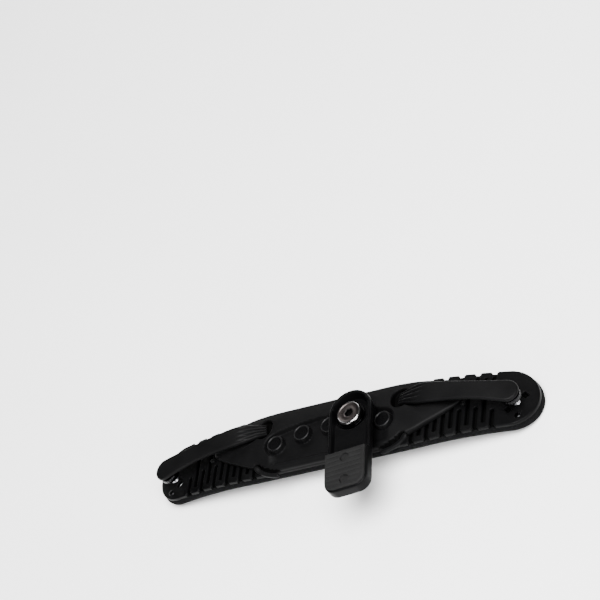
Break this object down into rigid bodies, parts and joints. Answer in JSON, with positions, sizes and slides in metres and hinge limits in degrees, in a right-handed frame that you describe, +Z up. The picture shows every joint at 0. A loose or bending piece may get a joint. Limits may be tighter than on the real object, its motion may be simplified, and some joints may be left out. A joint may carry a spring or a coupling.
{
  "type": "violin shoulder rest",
  "caption": "Arched black violin shoulder rest with foam pads, slotted flexible wings, tension bands with thumb nuts and a swivelling bracket for the instrument's back.",
  "frame": {"origin": "middle of the bounding box in X and Y, on the floor plane under the two pad tips", "axes": "+X along the rest towards the wing that shows beside the instrument, +Y across it towards the scroll, +Z up towards the instrument's back"},
  "size_m": [0.209, 0.0638, 0.0317],
  "materials": {
    "carrier_plastic": "satin black moulding with a fine grain",
    "plate_plastic": "satin black moulding",
    "band_plastic": "smooth satin black moulding",
    "bracket_plastic": "satin black glass-filled moulding",
    "pad_foam": "fine-celled black foam rubber",
    "liner_rubber": "matt black rubber",
    "polished_steel": "polished",
    "plain_steel": "turned",
    "insert_brass": "turned"
  },
  "bodies": {
    "carrier": {"carrier_shell": "carrier_plastic", "carrier_base": "plate_plastic", "thread_inserts": "insert_brass", "boss_plugs": "carrier_plastic", "pivot_bush": "plain_steel", "shell_screws": "plain_steel", "centre_pad": "pad_foam"},
    "wing_right": {"wing_plate_right": "plate_plastic", "wing_pad_right": "pad_foam", "tension_band_right": "band_plastic", "adjuster_stud_right": "plain_steel", "end_rivet_right": "band_plastic", "guide_pin_right": "band_plastic"},
    "wing_left": {"wing_plate_left": "plate_plastic", "wing_pad_left": "pad_foam", "tension_band_left": "band_plastic", "adjuster_stud_left": "plain_steel", "end_rivet_left": "band_plastic", "guide_pin_left": "band_plastic"},
    "nut_right": {"adjuster_nut_right": "polished_steel"},
    "nut_left": {"adjuster_nut_left": "polished_steel"},
    "bracket": {"bracket_arm": "bracket_plastic", "arm_liner": "liner_rubber"},
    "washer": {"clamp_washer": "plain_steel"},
    "screw": {"clamp_screw": "polished_steel"}
  },
  "joints": [
    {"name": "wing_right_bend", "type": "hinge", "parent": "carrier", "child": "wing_right", "pos_m": [0.031, 0.01489, 0.01365], "axis": [0, 1, 0], "range_deg": [0, 5], "stiffness_Nm_per_rad": 0.8},
    {"name": "wing_left_bend", "type": "hinge", "parent": "carrier", "child": "wing_left", "pos_m": [-0.031, 0.01489, 0.01365], "axis": [0, -1, 0], "range_deg": [0, 5], "stiffness_Nm_per_rad": 0.8},
    {"name": "nut_right_turn", "type": "hinge", "parent": "wing_right", "child": "nut_right", "pos_m": [0.094, 0.01189, 0.01495], "axis": [0, 0, 1], "continuous": true},
    {"name": "nut_left_turn", "type": "hinge", "parent": "wing_left", "child": "nut_left", "pos_m": [-0.094, 0.01189, 0.01495], "axis": [0, 0, 1], "continuous": true},
    {"name": "bracket_swing", "type": "hinge", "parent": "carrier", "child": "bracket", "pos_m": [0.01487, 0.01429, 0.02295], "axis": [0, 0, 1], "range_deg": [-25, 25]},
    {"name": "washer_lift", "type": "slide", "parent": "carrier", "child": "washer", "axis": [0, 0, 1], "range_m": [0, 0.0014]},
    {"name": "screw_turn", "type": "hinge", "parent": "washer", "child": "screw", "pos_m": [0.01487, 0.01429, 0.02295], "axis": [0, 0, 1], "range_deg": [0, 720]}
  ],
  "couplings": [
    {"joint": "washer_lift", "follows": "screw_turn", "m_per_rad": 0.00011141}
  ]
}
